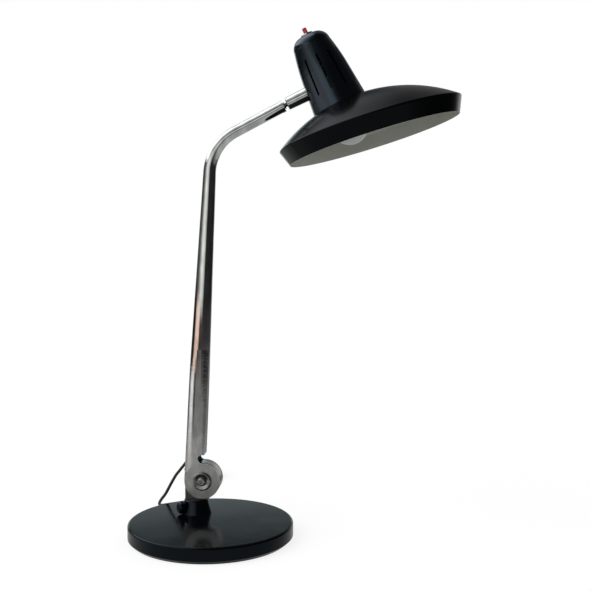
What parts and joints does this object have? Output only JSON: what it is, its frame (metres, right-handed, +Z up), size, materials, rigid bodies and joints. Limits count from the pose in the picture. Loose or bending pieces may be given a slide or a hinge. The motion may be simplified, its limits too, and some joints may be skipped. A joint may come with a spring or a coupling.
{
  "type": "desk lamp",
  "caption": "Desk lamp with a round weighted foot, a tapered bent arm on a swivelling friction hinge, and a tilting wide dish shade with a push switch.",
  "frame": {"origin": "centre of the foot's underside, on the table", "axes": "+Z up, +X from the arm's foot towards the shade, +Y away from the side with the hinge bolt's head"},
  "size_m": [0.3585, 0.3653, 0.5538],
  "materials": {
    "black_paint": "gloss",
    "base_paint": "satin",
    "shade_paint": "satin",
    "felt": "matte",
    "black_plastic": "gloss",
    "dark_washer": "matte",
    "chrome": "polished",
    "worn_chrome": "satin",
    "steel": "satin",
    "brass": "satin",
    "ceramic": "satin",
    "holder_plastic": "satin",
    "frosted_glass": "satin",
    "red_plastic": "satin",
    "cord_jacket": "satin",
    "switch_plastic": "satin",
    "plug_plastic": "satin"
  },
  "bodies": {
    "base": {"base_disc": "base_paint", "base_felt": "felt", "swivel_boss": "black_plastic", "swivel_lock_screw": "black_plastic", "boss_screws": "steel", "cord_lower": "cord_jacket", "cord_coil": "cord_jacket", "cord_tail": "cord_jacket", "cord_tie": "black_plastic", "plug_body": "plug_plastic", "plug_pins": "brass"},
    "turret": {"hinge_ear": "worn_chrome", "hinge_bush": "brass", "swivel_stud": "steel", "swivel_washer": "dark_washer", "swivel_spring_washer": "steel", "swivel_nut": "steel"},
    "arm": {"arm_tube": "chrome", "hinge_bolt": "worn_chrome", "hinge_cap": "worn_chrome", "friction_disc_front": "dark_washer", "friction_disc_rear": "dark_washer", "hinge_rear_washer": "steel", "hinge_spring_washer": "steel", "hinge_nut": "chrome", "end_ferrule": "chrome", "arm_lead": "cord_jacket", "cord_grommet": "black_plastic", "cord_upper": "cord_jacket"},
    "neck": {"ball_stud": "steel", "stud_clip": "steel"},
    "head": {"joint_sleeve": "chrome", "socket_cup": "brass", "sleeve_nut": "steel", "socket_spring": "steel", "lamp_housing": "black_paint", "shade": "shade_paint", "clamp_ring": "steel", "shade_screws": "steel", "lampholder_shell": "holder_plastic", "lampholder_ring": "holder_plastic", "holder_insert": "ceramic", "screw_shell": "brass", "centre_contact": "brass", "bulb_cap": "steel", "bulb_glass": "frosted_glass", "switch_body": "switch_plastic", "switch_nut": "chrome", "switch_lead": "cord_jacket", "holder_lead": "cord_jacket"},
    "button": {"switch_button": "red_plastic"}
  },
  "joints": [
    {"name": "base_swivel", "type": "hinge", "parent": "base", "child": "turret", "pos_m": [-0.022, 0.033, 0.0333], "axis": [0, 0, 1], "range_deg": [-60, 60]},
    {"name": "arm_tilt", "type": "hinge", "parent": "turret", "child": "arm", "pos_m": [-0.0135, 0.033, 0.0558], "axis": [0, 1, 0], "range_deg": [0, 50]},
    {"name": "head_roll", "type": "hinge", "parent": "arm", "child": "neck", "pos_m": [0.08536, 0.033, 0.47416], "axis": [0.889, 0, 0.4579], "range_deg": [-150, 150]},
    {"name": "head_tilt", "type": "hinge", "parent": "neck", "child": "head", "pos_m": [0.08536, 0.033, 0.47416], "axis": [0, 1, 0], "range_deg": [-15, 15]},
    {"name": "switch_push", "type": "slide", "parent": "head", "child": "button", "axis": [0.4305, 0, -0.9026], "range_m": [0, 0.003], "stiffness_N_per_m": 400, "springref_m": -0.002}
  ]
}
